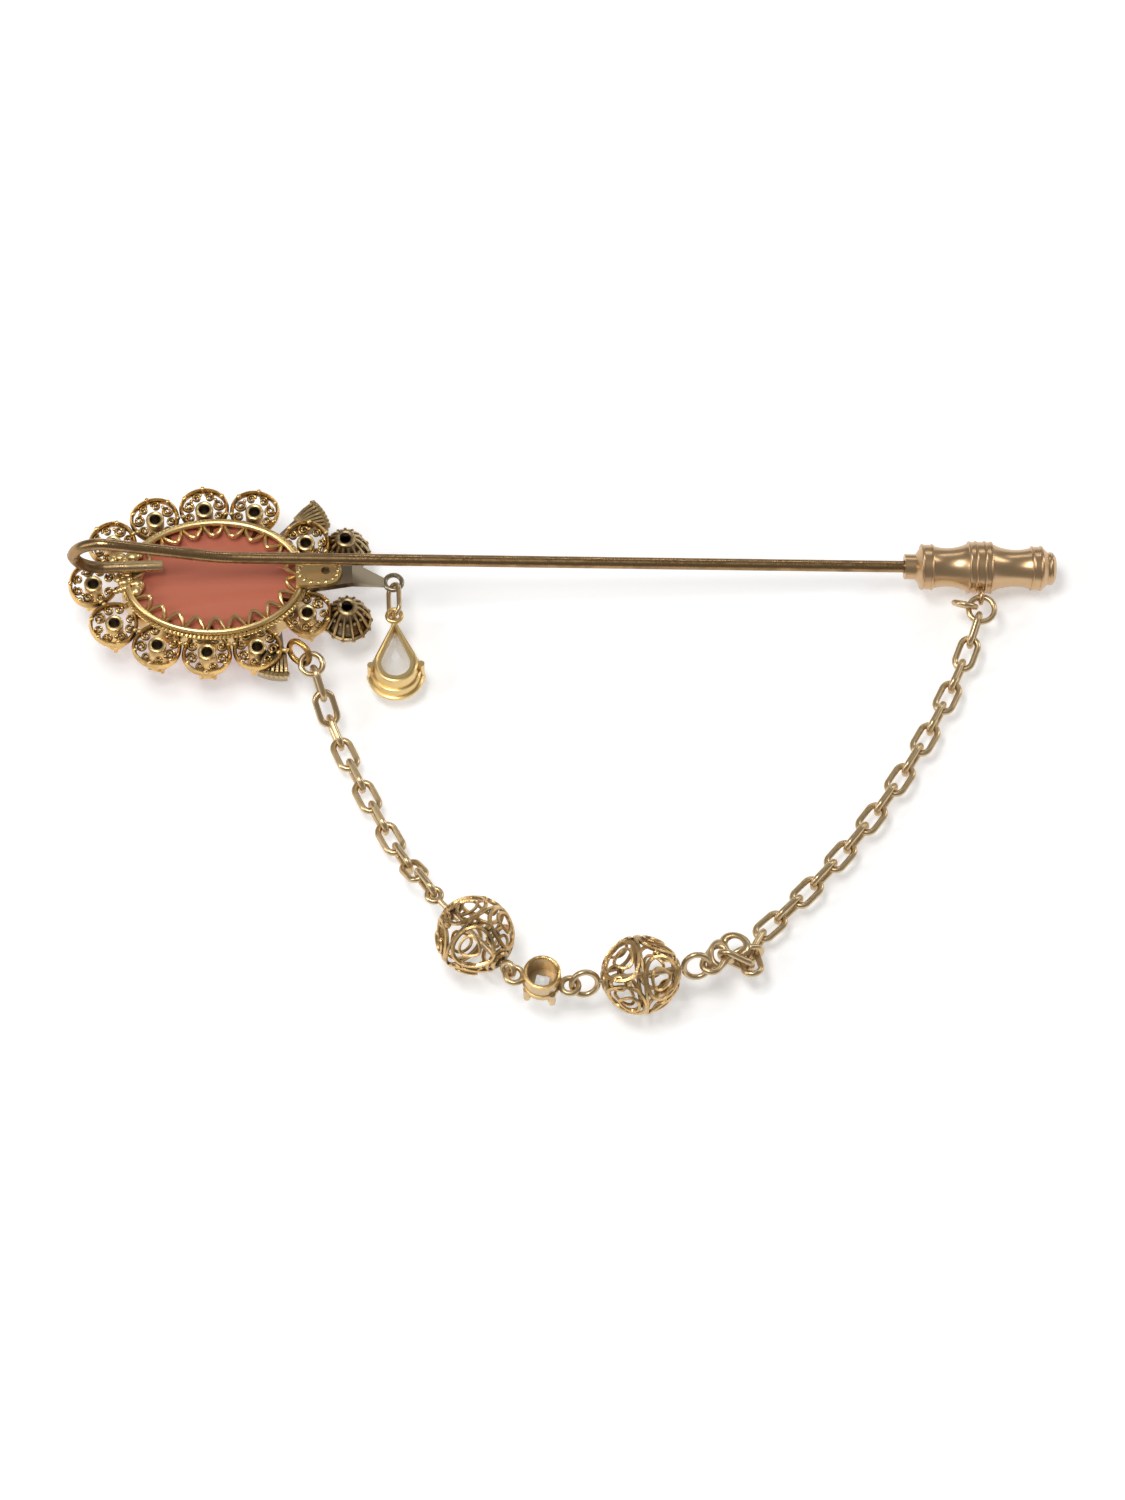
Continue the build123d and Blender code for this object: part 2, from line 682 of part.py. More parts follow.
def bead_shell(item):
    """Hollow ball with a hole at each end of its wire."""
    outer, inner, hole = BEAD / 2, BEAD / 2 - BEAD_WALL, BEAD_HOLE / 2
    ends = [math.sqrt(r ** 2 - hole ** 2) for r in (outer, inner)]
    section = make_face([
        ThreePointArc((-ends[0], hole), (0, outer), (ends[0], hole)),
        Line((ends[0], hole), (ends[1], hole)),
        ThreePointArc((ends[1], hole), (0, inner), (-ends[1], hole)),
        Line((-ends[1], hole), (-ends[0], hole)),
    ])
    return Pos(bead_offset(item), 0, 0) * revolve(section, Axis.X)


def bead_wire(item):
    """Wire through the bead, bent to an eye at each end."""
    half = item.straight / 2
    shapes = Rot(0, 90, 0) * Cylinder(BEAD_WIRE / 2, item.straight - 2 * item.arcs[0])
    for side, arc, upright in zip((-1, 1), item.arcs, item.upright):
        roll = 60.0 if upright else 0.0
        shapes += Pos(side * half, 0, 0) * Rot(roll, 0, 0) * Torus(arc, BEAD_WIRE / 2)
    return shapes


def connector_crystal():
    crown, pavilion = 0.7, 1.4
    half = CONNECTOR_STONE / 2 / math.sqrt(2)
    bottom = -CONNECTOR_DEPTH / 2
    top = loft([Pos(0, 0, bottom) * Rectangle(1.2 * half, 1.2 * half),
                Pos(0, 0, bottom + crown) * Rectangle(2 * half, 2 * half)])
    rear = loft([Pos(0, 0, bottom + crown) * Rectangle(2 * half, 2 * half),
                 Pos(0, 0, bottom + crown + pavilion) * Rectangle(half / 3, half / 3)])
    return top + rear


def connector_setting():
    """Round cup, open at the back, with four front prongs and a loop on each side."""
    cup = Cylinder(CONNECTOR_CUP / 2, CONNECTOR_DEPTH - 1.0)
    cup -= Pos(0, 0, 0.5) * Cylinder(CONNECTOR_CUP / 2 - CONNECTOR_WALL, CONNECTOR_DEPTH - 1.0)
    cup = Pos(0, 0, 0.5) * cup
    prong = Cylinder(0.35, CONNECTOR_DEPTH / 2)
    for i in range(4):
        place = Rot(0, 0, 45 + 90 * i) * Pos(CONNECTOR_CUP / 2, 0, -CONNECTOR_DEPTH / 4)
        cup += place * prong
    arc = (CONNECTOR_LOOP - JUMP_WIRE) / 2
    reach = (CONNECTOR_CUP + CONNECTOR_LOOP - 0.3) / 2
    for side in (-1, 1):
        cup += Pos(side * reach, 0, 0) * Torus(arc, JUMP_WIRE / 2)
    cup -= Pos(0, 0, 0.5) * Cylinder(CONNECTOR_CUP / 2 - CONNECTOR_WALL, CONNECTOR_DEPTH - 2.0)
    return cup - connector_crystal()


# --- pendant ----------------------------------------------------------------------------------
def pear_face(length, width):
    """Pear outline with its round end towards -Y and its centre of the box at the origin."""
    r = width / 2
    low = -length / 2 + r
    far = length - r
    touch = math.asin(r / far)
    x, y = r * math.cos(touch), low + r * math.sin(touch)
    return make_face([
        Line((0, length / 2), (x, y)),
        ThreePointArc((x, y), (0, low - r), (-x, y)),
        Line((-x, y), (0, length / 2)),
    ])


def drop_stone():
    crown = 0.7
    length, width = DROP_LENGTH - 2 * DROP_WALL, DROP_WIDTH - 2 * DROP_WALL
    top = loft([Pos(0, 0, -crown) * pear_face(length * 0.6, width * 0.6),
                Pos(0, 0, 0) * pear_face(length, width)])
    rear = loft([pear_face(length, width),
                 Pos(0, 0, DROP_DEPTH * 0.7) * pear_face(length * 0.2, width * 0.2)])
    return top + rear


def drop_walls():
    def cone(wall, low, high):
        return loft([
            Pos(0, 0, low) * pear_face(DROP_LENGTH - 2 * wall, DROP_WIDTH - 2 * wall),
            Pos(0, 0, high) * pear_face(DROP_BACK_LENGTH - 2 * wall, DROP_BACK_WIDTH - 2 * wall),
        ])

    walls = cone(0, 0, DROP_DEPTH) - cone(DROP_WALL, 0, DROP_DEPTH)
    low, r = -DROP_LENGTH / 2 + DROP_WIDTH / 2, DROP_WIDTH / 2
    length = DROP_DEPTH + 0.9
    for x, y in ((-r, low), (r, low), (0, DROP_LENGTH / 2)):
        walls += Pos(x * 0.97, y * 0.97, DROP_DEPTH / 2 - 0.75) * Cylinder(DROP_PRONG / 2, length)
    return walls - drop_stone()


def pendant_chain():
    """Arm ring, bail link and drop eye, hooked one in the next."""
    arm = ring("arm_ring", False, -90.0, ARM_RING, ARM_RING_WIRE)
    arm.start = Vector(ARM_RING_X, 0, arm_ring_z())
    arm.end = arm.start
    arc = (BAIL_WIDTH - BAIL_WIRE) / 2
    bail = Item("bail_link", BAIL_LENGTH - BAIL_WIDTH, (arc, arc), BAIL_WIRE, (True, True), -90.0,
                lambda: Rot(BAIL_ROLL, 0, 0) * oval_link(BAIL_LENGTH, BAIL_WIDTH, BAIL_WIRE))
    eye = ring("drop_eye", False, -90.0, DROP_EYE, DROP_EYE_WIRE)
    lay([arm, bail, eye])
    return arm, bail, eye


def drop_place():
    eye = pendant_chain()[2]
    reach = DROP_EYE / 2 + DROP_BACK_LENGTH / 2 - 0.3
    return Pos(eye.end.X, eye.end.Y - reach, eye.end.Z - DROP_DEPTH)


def drop_setting():
    eye = pendant_chain()[2]
    loop = eye.shape()
    hole = Pos(*eye.end) * Sphere(DROP_EYE / 2 - DROP_EYE_WIRE / 2)
    return drop_place() * drop_walls() - hole + loop


def drop_crystal():
    return drop_place() * drop_stone()


# --- assembly ---------------------------------------------------------------------------------
def chain_eye(item):
    """Oval eye with a short stem to the petal beside it."""
    x, y, _ = min(petal_places(), key=lambda p: math.hypot(p[0] - item.start.X, p[1] - item.start.Y))
    eye = item.shape()
    gap = Vector(x, y, PETAL_Z) - item.start
    stem = Plane(origin=item.start, z_dir=gap) * Pos(0, 0, gap.length / 2)
    bar = stem * Cylinder(PETAL_WIRE / 2, gap.length)
    bar -= item.place() * Rot(HEAD_EYE_ROLL, 0, 0) * Cylinder(item.arcs[0], 2)
    bar -= Pos(x, y, PETAL_Z) * Cylinder((PETAL_OUTER - PETAL_WIRE) / 2, 2)
    return eye + bar - Pos(x, y, PETAL_Z) * Torus((PETAL_OUTER - PETAL_WIRE) / 2, PETAL_WIRE / 2)


def build():
    chain = whole_chain()
    nodes = {
        "cabochon": cabochon(),
        "gallery_strip": gallery_strip(),
        "bezel_wire": bezel_wire(),
        "petal_frames": petal_frames(),
        "petal_scrolls": petal_scrolls(),
        "chaton_cups": chaton_cups(),
        "chaton_crystals": chaton_crystals(),
        "rosette_cups": rosette_cups(),
        "rosette_crystals": at_rosettes(rosette_stone()),
        "shell_cups": shell_cups(),
        "pendant_arm": pendant_arm(),
        "solder_plate": solder_plate(),
        "chain_eye": chain_eye(chain[0]),
        "pin_wire": pin_wire(),
        "cap_body": cap_body(),
        "cap_liner": cap_liner(),
        "cap_eye": cap_eye(),
        "bail_link": pendant_chain()[1].shape(),
        "drop_setting": drop_setting(),
        "drop_crystal": drop_crystal(),
    }
    knot = []
    for item in chain[1:-1]:
        if item.name.startswith("bead"):
            nodes[item.name + "_shell"] = item.place() * bead_shell(item)
            nodes[item.name + "_wire"] = item.place() * bead_wire(item)
        elif item.name == "connector":
            nodes["connector_setting"] = item.place() * connector_setting()
            nodes["connector_crystal"] = item.place() * connector_crystal()
        elif item.name.startswith("knot"):
            knot.append(item.shape())
        else:
            nodes[item.name] = item.shape()
    nodes["knot_links"] = group(knot)
    nodes["cap_ring_spare"] = spare_ring(chain[-2]).shape()
    return nodes


def base_centre(nodes):
    """Middle of the underside of the box round all nodes."""
    box = Compound(children=[Compound(list(s.solids())) for s in nodes.values()]).bounding_box()
    return Vector(box.center().X, box.center().Y, box.min.Z)


NODES = build()
ORIGIN = base_centre(NODES)
os.makedirs("parts", exist_ok=True)
for node, solid in NODES.items():
    export_step(Pos(*(ORIGIN * -1)) * Compound(list(solid.solids())), f"parts/{node}.step")
print(len(NODES), "nodes, origin at", [round(v, 3) for v in ORIGIN])
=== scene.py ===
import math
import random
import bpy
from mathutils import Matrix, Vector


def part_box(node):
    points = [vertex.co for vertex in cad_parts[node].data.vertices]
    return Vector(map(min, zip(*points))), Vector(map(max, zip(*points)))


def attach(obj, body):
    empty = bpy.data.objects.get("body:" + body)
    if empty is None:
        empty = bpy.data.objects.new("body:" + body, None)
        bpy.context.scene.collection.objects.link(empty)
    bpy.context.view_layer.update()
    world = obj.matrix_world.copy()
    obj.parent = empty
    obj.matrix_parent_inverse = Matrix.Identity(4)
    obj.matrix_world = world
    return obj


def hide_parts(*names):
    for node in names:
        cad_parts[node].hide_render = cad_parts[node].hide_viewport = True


bl_info = {
    "name": "Jewelled hat pin",
    "version": (1, 0, 0),
    "blender": (4, 5, 0),
    "location": "View3D > Sidebar > Hat pin",
    "description": "Filigree, finishes and stage for a jewelled hat pin lying face down",
    "category": "Object",
}

import bpy
from mathutils import Euler, Matrix, Vector

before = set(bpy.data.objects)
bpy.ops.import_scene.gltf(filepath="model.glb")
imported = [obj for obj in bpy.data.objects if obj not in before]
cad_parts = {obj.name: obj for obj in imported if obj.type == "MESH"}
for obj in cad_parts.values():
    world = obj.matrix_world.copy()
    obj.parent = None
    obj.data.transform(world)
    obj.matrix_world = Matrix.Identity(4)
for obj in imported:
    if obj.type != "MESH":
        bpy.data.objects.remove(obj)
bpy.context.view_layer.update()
MM = 0.001

# petal middles from the middle of the head and the way each petal faces, mm and degrees
PETALS = (
    (-12.2, 0.0, 180.0), (-10.142, 4.558, 135.1), (-10.142, -4.558, -135.1),
    (-5.882, 7.184, 110.3), (-5.882, -7.184, -110.3), (-0.927, 8.176, 92.9),
    (-0.927, -8.176, -92.9), (4.115, 7.72, 76.5), (4.115, -7.72, -76.5),
    (9.2, 4.0, 25.0), (9.2, -4.0, -25.0),
)
BEAD_HEADINGS = {"bead_1": -50.0, "bead_2": 8.0}
CAP_SLOPE = 5.0

# factor, first and second colour of a Mix node set to RGBA, and its result
MIX_SOCKETS = (0, 6, 7)
MIX_RESULT = 2

# sizes that the pieces share with the solid parts, in mm
STONE_RADII = (9.0, 6.5)
GRAIN_RADII = (9.15, 6.65)
GRAINS = 120
SCALLOP_STEPS = 8
SCALLOP_ROOT = 0.15
SETTING_WALL = 0.36
SETTING_HEIGHT = 2.3
PETAL_RADII = (2.28, 2.3)
PETAL_STEPS = 48
ROSETTE_PLACE = (13.2, 3.9)
ROSETTE_RIBS = 14
SHELL_PLACE = (6.6, 5.6)
SHELL_REACH = (2.2, 4.85)
SHELL_HEADINGS = ((1, 28.0), (-1, -103.0))
SHELL_SPREAD = 34.0
SHELL_RIBS = 7
CAP_LINER_MIDDLE = 5.5
# distance from the mouth, radius and half thickness of each turned ring
CAP_RINGS = (
    (1.75, 2.18, 0.16), (2.75, 2.18, 0.16), (6.5, 2.5, 0.17), (7.15, 2.58, 0.14), (8.05, 2.58, 0.14),
    (8.7, 2.5, 0.17), (12.9, 2.1, 0.16), (13.8, 2.12, 0.18), (14.75, 1.5, 0.18),
)
# middle, turn and hand of the spirals in one half of a petal: x, y, start, turns, outer, inner, steps
PETAL_CURLS = (
    (0.55, 1.5, 100, 1.6, 0.58, 0.14, 30, 1), (1.5, 0.62, -60, 1.4, 0.48, 0.12, 26, 1),
    (-0.75, 1.45, 160, 1.5, 0.52, 0.13, 26, -1), (-1.6, 0.75, 60, 1.2, 0.42, 0.12, 22, -1),
)
# offset from the middle of the knot and turn of each extra link
KNOT_LINKS = (
    ((-1.5, -0.5, 0.9), (35, 20, 70)), ((1.2, -0.3, 0.2), (70, 10, 20)),
    ((0.2, 0.6, 0.7), (20, -25, -40)),
)
# length, width, height over the stone and half thickness of the rims of the drop
DROP_RIMS = ((6.7, 4.0, 2.55, 0.22), (7.5, 4.7, 1.2, 0.2), (8.0, 5.2, 0.05, 0.27))
CAMERA_TARGET = (-0.67 * MM, 1.61 * MM, 0.0)
# way up from the floor to the camera and its right-hand side, both 1 m long
CAMERA_BACK = Vector((0.4695 * -0.03351, 0.4695 * -0.99944, 0.8829))
CAMERA_RIGHT = Vector((0.99944, -0.03351, 0.0))


# --- making meshes ----------------------------------------------------------------------------
def nothing_selected():
    if bpy.context.mode != "OBJECT":
        bpy.ops.object.mode_set(mode="OBJECT")
    bpy.ops.object.select_all(action="DESELECT")


def use_only(obj):
    nothing_selected()
    obj.select_set(True)
    bpy.context.view_layer.objects.active = obj
    return obj


def bake_place(obj):
    """Put an object's place in its mesh."""
    use_only(obj)
    bpy.ops.object.transform_apply(location=True, rotation=True, scale=True)
    return obj


def place(obj, location=(0, 0, 0), turn=(0, 0, 0), size=(1, 1, 1)):
    """Move, turn in degrees and scale an object, lengths in mm, then bake that in its mesh."""
    spin = Euler([math.radians(a) for a in turn]).to_matrix().to_4x4()
    scale = Matrix.Diagonal((*size, 1.0))
    obj.matrix_world = Matrix.Translation(Vector(location) * MM) @ spin @ scale
    return bake_place(obj)


def twin(obj):
    copy = obj.copy()
    copy.data = obj.data.copy()
    bpy.context.scene.collection.objects.link(copy)
    return copy


def joined(parts):
    use_only(parts[0])
    for part in parts:
        part.select_set(True)
    bpy.ops.object.join()
    return bpy.context.view_layer.objects.active


def repeated(obj, places):
    """Copies of a piece at (x, y, z, turn about Z) places, joined to one mesh."""
    copies = [place(twin(obj), (x, y, z), (0, 0, turn)) for x, y, z, turn in places]
    bpy.data.objects.remove(obj)
    return joined(copies)


def smooth(obj, angle=40.0):
    use_only(obj)
    bpy.ops.object.shade_smooth_by_angle(angle=math.radians(angle))
    return obj


def ring(radius, wire, location=(0, 0, 0), turn=(0, 0, 0), size=(1, 1, 1), fine=(32, 10)):
    nothing_selected()
    bpy.ops.mesh.primitive_torus_add(major_segments=fine[0], minor_segments=fine[1],
                                     major_radius=radius * MM, minor_radius=wire * MM)
    return place(bpy.context.object, location, turn, size)


def ball(radius, location, size=(1, 1, 1), fine=2):
    nothing_selected()
    bpy.ops.mesh.primitive_ico_sphere_add(subdivisions=fine, radius=radius * MM)
    return place(bpy.context.object, location, (0, 0, 0), size)


def wire(points, radius, closed=False, height=1.0, sides=2):
    """Round or upright wire that follows points in mm, as a closed mesh."""
    line = bpy.data.curves.new("wire", "CURVE")
    line.dimensions = "3D"
    line.bevel_depth = radius * MM
    line.bevel_resolution = sides
    line.use_fill_caps = True
    spline = line.splines.new("POLY")
    spline.points.add(len(points) - 1)
    for knot, point in zip(spline.points, points):
        knot.co = (point[0] * MM, point[1] * MM, point[2] * MM / height, 1.0)
    spline.use_cyclic_u = closed
    obj = bpy.data.objects.new("wire", line)
    bpy.context.scene.collection.objects.link(obj)
    use_only(obj)
    bpy.ops.object.convert(target="MESH")
    return place(bpy.context.object, size=(1, 1, height))


def curled(centre, start, turns, outer, inner, steps=28, hand=1):
    """Points of a flat spiral in mm."""
    points = []
    for step in range(steps + 1):
        share = step / steps
        angle = math.radians(start) + hand * turns * 2 * math.pi * share
        radius = outer + (inner - outer) * share
        x, y = radius * math.cos(angle), radius * math.sin(angle)
        points.append((centre[0] + x, centre[1] + y, 0))
    return points


# --- effects that finishes share --------------------------------------------------------------
def group_tree(name, inputs, outputs):
    tree = bpy.data.node_groups.new(name, "ShaderNodeTree")
    for kind, label, value in inputs:
        socket = tree.interface.new_socket(name=label, in_out="INPUT", socket_type=kind)
        socket.default_value = value
    for kind, label in outputs:
        tree.interface.new_socket(name=label, in_out="OUTPUT", socket_type=kind)
    return tree, tree.nodes.new("NodeGroupInput"), tree.nodes.new("NodeGroupOutput")


def add(tree, kind, **settings):
    node = tree.nodes.new(kind)
    for key, value in settings.items():
        setattr(node, key, value)
    return node


def mix_colours(tree, factor, first, second):
    node = add(tree, "ShaderNodeMix", data_type="RGBA")
    sockets = [node.inputs[i] for i in MIX_SOCKETS]
    for socket, value in zip(sockets, (factor, first, second)):
        if hasattr(value, "is_output"):
            tree.links.new(value, socket)
        else:
            socket.default_value = value
    return node.outputs[MIX_RESULT]


def noise(tree, where, scale, detail=4.0, rough=0.6):
    node = add(tree, "ShaderNodeTexNoise")
    tree.links.new(where, node.inputs["Vector"])
    if hasattr(scale, "is_output"):
        tree.links.new(scale, node.inputs["Scale"])
    else:
        node.inputs["Scale"].default_value = scale
    node.inputs["Detail"].default_value = detail
    node.inputs["Roughness"].default_value = rough
    return node.outputs["Fac"]


def remap(tree, value, low, high, to_low=0.0, to_high=1.0):
    node = add(tree, "ShaderNodeMapRange", clamp=True)
    tree.links.new(value, node.inputs["Value"])
    node.inputs["From Min"].default_value = low
    node.inputs["From Max"].default_value = high
    node.inputs["To Min"].default_value = to_low
    node.inputs["To Max"].default_value = to_high
    return node.outputs["Result"]


def calculate(tree, operation, first, second):
    node = add(tree, "ShaderNodeMath", operation=operation, use_clamp=True)
    for socket, value in zip(node.inputs, (first, second)):
        if hasattr(value, "is_output"):
            tree.links.new(value, socket)
        else:
            socket.default_value = value
    return node.outputs[0]


def make_tarnish():
    """Colour and roughness of old plated metal: painted shade darkening its recesses, tarnish blotches,
    and a painted highlight brightening its sharp edges.
    """
    tree, given, out = group_tree(
        "tarnish",
        [("NodeSocketVector", "Where", (0, 0, 0)), ("NodeSocketColor", "Metal", (1, 1, 1, 1)),
         ("NodeSocketColor", "Dark", (0, 0, 0, 1)), ("NodeSocketColor", "Bright", (1, 1, 1, 1)),
         ("NodeSocketFloat", "Blotch scale", 400.0), ("NodeSocketFloat", "Blotches", 0.5),
         ("NodeSocketFloat", "Recess", 0.8), ("NodeSocketFloat", "Polish", 0.3)],
        [("NodeSocketColor", "Colour"), ("NodeSocketFloat", "Roughness")])
    where = given.outputs["Where"]
    blotch = remap(tree, noise(tree, where, given.outputs["Blotch scale"], 5.0, 0.65), 0.42, 0.66)
    blotch = calculate(tree, "MULTIPLY", blotch, given.outputs["Blotches"])
    # painted shade: ambient occlusion finds the recesses, and the Dark colour is mixed in there
    shade = add(tree, "ShaderNodeAmbientOcclusion", samples=6)
    shade.inputs["Distance"].default_value = 1.3 * MM
    painted_recess_shade = remap(tree, shade.outputs["AO"], 0.85, 0.3)
    painted_recess_shade = calculate(tree, "MULTIPLY", painted_recess_shade, given.outputs["Recess"])
    # painted highlight: the Bright colour is mixed in on sharp, pointy edges
    point = add(tree, "ShaderNodeNewGeometry").outputs["Pointiness"]
    edge = remap(tree, point, 0.52, 0.60, 0.0, 0.7)
    colour = mix_colours(tree, blotch, given.outputs["Metal"], given.outputs["Dark"])
    colour = mix_colours(tree, edge, colour, given.outputs["Bright"])
    colour = mix_colours(tree, painted_recess_shade, colour, given.outputs["Dark"])
    tree.links.new(colour, out.inputs["Colour"])
    dull = calculate(tree, "MAXIMUM", blotch, painted_recess_shade)
    rough = calculate(tree, "MULTIPLY", dull, 0.35)
    fine = remap(tree, noise(tree, where, 5200.0, 3.0), 0.3, 0.7, 0.0, 0.1)
    rough = calculate(tree, "ADD", rough, fine)
    tree.links.new(calculate(tree, "ADD", rough, given.outputs["Polish"]), out.inputs["Roughness"])
    return tree


def make_casting():
    """Normal of cast or soldered metal: low lumps with fine pits."""
    tree, given, out = group_tree(
        "casting",
        [("NodeSocketVector", "Where", (0, 0, 0)), ("NodeSocketFloat", "Lump scale", 900.0),
         ("NodeSocketFloat", "Depth", 0.00005)],
        [("NodeSocketVector", "Normal")])
    where = given.outputs["Where"]
    lumps = noise(tree, where, given.outputs["Lump scale"], 3.0, 0.55)
    pits = noise(tree, where, 4200.0, 2.0)
    height = calculate(tree, "MULTIPLY_ADD", pits, 0.3)
    tree.links.new(lumps, height.node.inputs[2])
    bump = add(tree, "ShaderNodeBump")
    bump.inputs["Strength"].default_value = 1.0
    tree.links.new(given.outputs["Depth"], bump.inputs["Distance"])
    tree.links.new(height, bump.inputs["Height"])
    tree.links.new(bump.outputs["Normal"], out.inputs["Normal"])
    return tree


def object_place(tree):
    return add(tree, "ShaderNodeTexCoord").outputs["Object"]


def blank_material(name):
    material = bpy.data.materials.new(name)
    material.use_nodes = True
    return material, material.node_tree, material.node_tree.nodes["Principled BSDF"]


def metal(name, base, dark, edge_highlight, blotch_scale, blotches, recess_shade, polish, lump_scale, depth):
    material, tree, shader = blank_material(name)
    where = object_place(tree)
    look = add(tree, "ShaderNodeGroup", node_tree=bpy.data.node_groups["tarnish"])
    for key, value in (("Metal", base), ("Dark", dark), ("Bright", edge_highlight)):
        look.inputs[key].default_value = (*value, 1.0)
    for key, value in (("Blotch scale", blotch_scale), ("Blotches", blotches), ("Recess", recess_shade),
                       ("Polish", polish)):
        look.inputs[key].default_value = value
    cast = add(tree, "ShaderNodeGroup", node_tree=bpy.data.node_groups["casting"])
    cast.inputs["Lump scale"].default_value = lump_scale
    cast.inputs["Depth"].default_value = depth * MM
    for node in (look, cast):
        tree.links.new(where, node.inputs["Where"])
    tree.links.new(look.outputs["Colour"], shader.inputs["Base Color"])
    tree.links.new(look.outputs["Roughness"], shader.inputs["Roughness"])
    tree.links.new(cast.outputs["Normal"], shader.inputs["Normal"])
    shader.inputs["Metallic"].default_value = 1.0
    return material


def coral_stone(base):
    """Polished red stone with orange clouds, painted shade darkening its rim, and fine flecks."""
    material, tree, shader = blank_material("coral_stone")
    lo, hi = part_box("cabochon")
    middle = (lo + hi) / 2
    where = object_place(tree)
    centred = add(tree, "ShaderNodeMapping")
    tree.links.new(where, centred.inputs["Vector"])
    centred.inputs["Location"].default_value = (-middle.x / (hi.x - lo.x) * 2,
                                                -middle.y / (hi.y - lo.y) * 2, 0)
    centred.inputs["Scale"].default_value = (2 / (hi.x - lo.x), 2 / (hi.y - lo.y), 0)
    length = add(tree, "ShaderNodeVectorMath", operation="LENGTH")
    tree.links.new(centred.outputs["Vector"], length.inputs[0])
    # painted shade: darker towards the rim of the stone, where its dome curves away from the light
    rim = remap(tree, length.outputs["Value"], 0.62, 1.0)
    clouds = remap(tree, noise(tree, where, 240.0, 4.0, 0.6), 0.46, 0.62)
    grain = remap(tree, noise(tree, where, 1700.0, 5.0, 0.7), 0.45, 0.75)
    fleck = remap(tree, noise(tree, where, 620.0, 1.0), 0.735, 0.755)
    colour = mix_colours(tree, clouds, (*base, 1.0), (0.36, 0.062, 0.014, 1.0))
    for mask, share, tint in ((grain, 0.45, (0.09, 0.012, 0.010, 1.0)),
                              (rim, 0.75, (0.06, 0.012, 0.02, 1.0)),
                              (fleck, 0.7, (0.8, 0.55, 0.48, 1.0))):
        colour = mix_colours(tree, calculate(tree, "MULTIPLY", mask, share), colour, tint)
    tree.links.new(colour, shader.inputs["Base Color"])
    tree.links.new(remap(tree, grain, 0.0, 1.0, 0.22, 0.42), shader.inputs["Roughness"])
    bump = add(tree, "ShaderNodeBump")
    bump.inputs["Strength"].default_value = 0.5
    bump.inputs["Distance"].default_value = 0.03 * MM
    tree.links.new(noise(tree, where, 900.0, 3.0), bump.inputs["Height"])
    tree.links.new(bump.outputs["Normal"], shader.inputs["Normal"])
    shader.inputs["Specular IOR Level"].default_value = 0.45
    return material


def crystal_glass():
    material, tree, shader = blank_material("crystal")
    where = object_place(tree)
    tint = mix_colours(tree, remap(tree, noise(tree, where, 700.0), 0.4, 0.7),
                       (0.94, 0.95, 0.96, 1.0), (0.78, 0.80, 0.82, 1.0))
    tree.links.new(tint, shader.inputs["Base Color"])
    haze = remap(tree, noise(tree, where, 1500.0), 0.3, 0.7, 0.02, 0.1)
    tree.links.new(haze, shader.inputs["Roughness"])
    shader.inputs["IOR"].default_value = 1.54
    shader.inputs["Transmission Weight"].default_value = 0.75
    return material


def plain_floor(colour):
    material, tree, shader = blank_material("pale_floor")
    where = object_place(tree)
    tone = mix_colours(tree, remap(tree, noise(tree, where, 9.0), 0.3, 0.7), (*colour, 1.0),
                       (*[c * 0.985 for c in colour], 1.0))
    tree.links.new(tone, shader.inputs["Base Color"])
    shader.inputs["Roughness"].default_value = 0.9
    shader.inputs["Specular IOR Level"].default_value = 0.1
    shader.inputs["Emission Color"].default_value = (1.0, 1.0, 1.0, 1.0)
    shader.inputs["Emission Strength"].default_value = 0.32
    return material


# --- sizes and colours a user would change ----------------------------------------------------
def size_property(label, text, value):
    return bpy.props.FloatProperty(name=label, description=text, default=value * MM, unit="LENGTH",
                                   min=0.0)


def colour_property(label, text, value):
    return bpy.props.FloatVectorProperty(name=label, description=text, default=value, subtype="COLOR",
                                         min=0.0, max=1.0)


class HatPinSizes(bpy.types.PropertyGroup):
    scallop_wire: size_property("Scallop wire", "Thickness of the scalloped strip round the stone", 0.4)
    scallop_depth: size_property("Scallop depth", "How far the scallops reach over the stone", 1.75)
    petal_ribbon: size_property("Petal ribbon", "Thickness of the ribbon that outlines a petal", 0.42)
    scroll_wire: size_property("Scroll wire", "Thickness of the curled wire in a petal", 0.26)
    bead_wire: size_property("Bead wire", "Thickness of the filigree wire of the beads", 0.46)
    rib_wire: size_property("Rib wire", "Thickness of the ribs on rosettes and shells", 0.3)
    scallops: bpy.props.IntProperty(name="Scallops", description="Scallops round the stone", default=22,
                                    min=8, max=60)
    cells: bpy.props.IntProperty(name="Bead cells", description="Teardrop cells round half a bead",
                                 default=4, min=3, max=10)


class HatPinColours(bpy.types.PropertyGroup):
    gold: colour_property("Bright gold", "Plating on the head and the drop", (0.80, 0.455, 0.125))
    old_gold: colour_property("Antique gold", "Chain, beads and pin wire", (0.42, 0.26, 0.12))
    copper: colour_property("Copper gold", "The cap, where its plating has worn", (0.46, 0.235, 0.10))
    bronze: colour_property("Dark bronze", "Rosettes, shells and arm", (0.20, 0.145, 0.085))
    stone: colour_property("Stone", "The oval cabochon", (0.215, 0.024, 0.012))
    floor: colour_property("Floor", "The surface that the pin lies on", (0.93, 0.93, 0.93))


# --- finished pieces --------------------------------------------------------------------------
def finished(obj, name, body, material, replaces=()):
    obj.name = name
    obj.data.name = name
    obj.data.materials.clear()
    obj.data.materials.append(bpy.data.materials[material])
    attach(obj, body)
    if replaces:
        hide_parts(*replaces)
    return obj


def millimetres(corner):
    return Vector(corner) / MM


def node_middle(node):
    lo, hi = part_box(node)
    return millimetres((lo + hi) / 2)


def head_middle():
    return node_middle("cabochon")


def stone_back():
    return millimetres(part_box("cabochon")[1]).z


